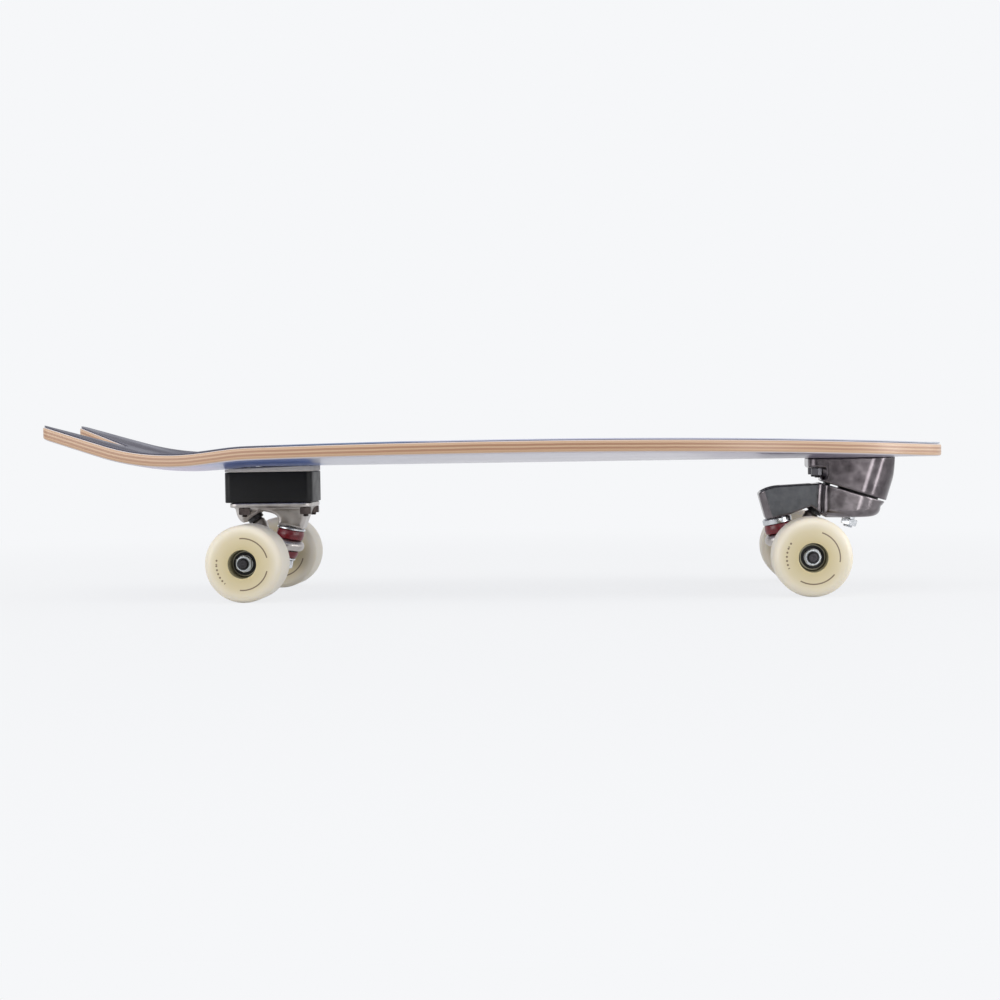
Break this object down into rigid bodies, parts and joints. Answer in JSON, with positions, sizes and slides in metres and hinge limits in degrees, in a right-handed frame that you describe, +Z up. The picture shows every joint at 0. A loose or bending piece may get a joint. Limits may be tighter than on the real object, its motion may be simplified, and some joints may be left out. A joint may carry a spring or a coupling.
{
  "type": "surf skateboard",
  "caption": "Complete surf skateboard: swallow-tailed maple deck with kicktail, risered rear truck, spring-loaded swinging front truck and wide cream wheels.",
  "frame": {"origin": "on the ground under the middle of the deck", "axes": "+X to the nose, +Y to the left rail, +Z up"},
  "size_m": [0.77, 0.25, 0.1513],
  "materials": {
    "maple": "clear-lacquered edge of pressed maple plies, lavender-grey dyed faces",
    "grip": "matt grit sheet",
    "urethane": "satin cast polyurethane",
    "bushing": "glossy cast polyurethane",
    "casting": "tumbled casting",
    "gunmetal": "dark plated, polished casting",
    "steel": "bright zinc plating",
    "dark_steel": "blackened steel",
    "black_plastic": "moulded, fine grain",
    "grey_rubber": "matt foam rubber",
    "black_rubber": "matt",
    "bearing_steel": "ground steel with dark shields"
  },
  "bodies": {
    "board": {"deck": "maple", "grip_tape": "grip", "rear_shock_pad": "grey_rubber", "rear_riser": "black_plastic", "rear_mounting_bolt_tail_left": "dark_steel", "rear_mounting_bolt_tail_right": "dark_steel", "rear_mounting_bolt_nose_left": "dark_steel", "rear_mounting_bolt_nose_right": "dark_steel", "front_mounting_bolt_tail_left": "dark_steel", "front_mounting_bolt_tail_right": "dark_steel", "front_mounting_bolt_nose_left": "dark_steel", "front_mounting_bolt_nose_right": "dark_steel", "rear_baseplate": "casting", "rear_kingpin": "steel", "rear_kingpin_nut": "steel", "rear_upper_cup_washer": "steel", "rear_lower_cup_washer": "steel", "rear_upper_bushing": "bushing", "rear_lower_bushing": "bushing", "rear_pivot_cup": "black_rubber", "front_base": "gunmetal", "front_swing_pin": "steel", "front_swing_nut": "steel", "front_thrust_ring": "black_rubber", "front_torsion_spring": "steel"},
    "front_arm": {"front_swing_arm": "gunmetal", "front_swing_bush": "bearing_steel", "front_kingpin": "steel", "front_kingpin_nut": "steel", "front_upper_cup_washer": "steel", "front_lower_cup_washer": "steel", "front_upper_bushing": "bushing", "front_lower_bushing": "bushing", "front_pivot_cup": "black_rubber"},
    "front_hanger": {"front_hanger": "casting", "front_axle": "steel", "front_left_bearing_spacer": "steel", "front_left_axle_nut": "steel", "front_right_bearing_spacer": "steel", "front_right_axle_nut": "steel"},
    "rear_hanger": {"rear_hanger": "casting", "rear_axle": "steel", "rear_left_bearing_spacer": "steel", "rear_left_axle_nut": "steel", "rear_right_bearing_spacer": "steel", "rear_right_axle_nut": "steel"},
    "rear_left_wheel": {"rear_left_wheel": "urethane", "rear_left_outer_bearing": "bearing_steel", "rear_left_inner_bearing": "bearing_steel"},
    "rear_right_wheel": {"rear_right_wheel": "urethane", "rear_right_outer_bearing": "bearing_steel", "rear_right_inner_bearing": "bearing_steel"},
    "front_left_wheel": {"front_left_wheel": "urethane", "front_left_outer_bearing": "bearing_steel", "front_left_inner_bearing": "bearing_steel"},
    "front_right_wheel": {"front_right_wheel": "urethane", "front_right_outer_bearing": "bearing_steel", "front_right_inner_bearing": "bearing_steel"}
  },
  "joints": [
    {"name": "front_swing", "type": "hinge", "parent": "board", "child": "front_arm", "pos_m": [0.3155, 0, 0.0825], "axis": [0.3007, 0, 0.9537], "range_deg": [-25, 25], "stiffness_Nm_per_rad": 25, "deforming": ["front_torsion_spring"]},
    {"name": "front_lean", "type": "hinge", "parent": "front_arm", "child": "front_hanger", "pos_m": [0.281, 0, 0.0723], "axis": [-0.7441, 0, -0.6681], "range_deg": [-11, 11], "stiffness_Nm_per_rad": 55, "deforming": ["front_upper_bushing", "front_lower_bushing"]},
    {"name": "rear_lean", "type": "hinge", "parent": "board", "child": "rear_hanger", "pos_m": [-0.216, 0, 0.0723], "axis": [0.7441, 0, -0.6681], "range_deg": [-11, 11], "stiffness_Nm_per_rad": 55, "deforming": ["rear_upper_bushing", "rear_lower_bushing"]},
    {"name": "rear_left_wheel_spin", "type": "hinge", "parent": "rear_hanger", "child": "rear_left_wheel", "pos_m": [-0.203, 0.0891, 0.0325], "axis": [0, 1, 0], "continuous": true},
    {"name": "rear_right_wheel_spin", "type": "hinge", "parent": "rear_hanger", "child": "rear_right_wheel", "pos_m": [-0.203, -0.0891, 0.0325], "axis": [0, 1, 0], "continuous": true},
    {"name": "front_left_wheel_spin", "type": "hinge", "parent": "front_hanger", "child": "front_left_wheel", "pos_m": [0.268, 0.0891, 0.0325], "axis": [0, 1, 0], "continuous": true},
    {"name": "front_right_wheel_spin", "type": "hinge", "parent": "front_hanger", "child": "front_right_wheel", "pos_m": [0.268, -0.0891, 0.0325], "axis": [0, 1, 0], "continuous": true}
  ]
}
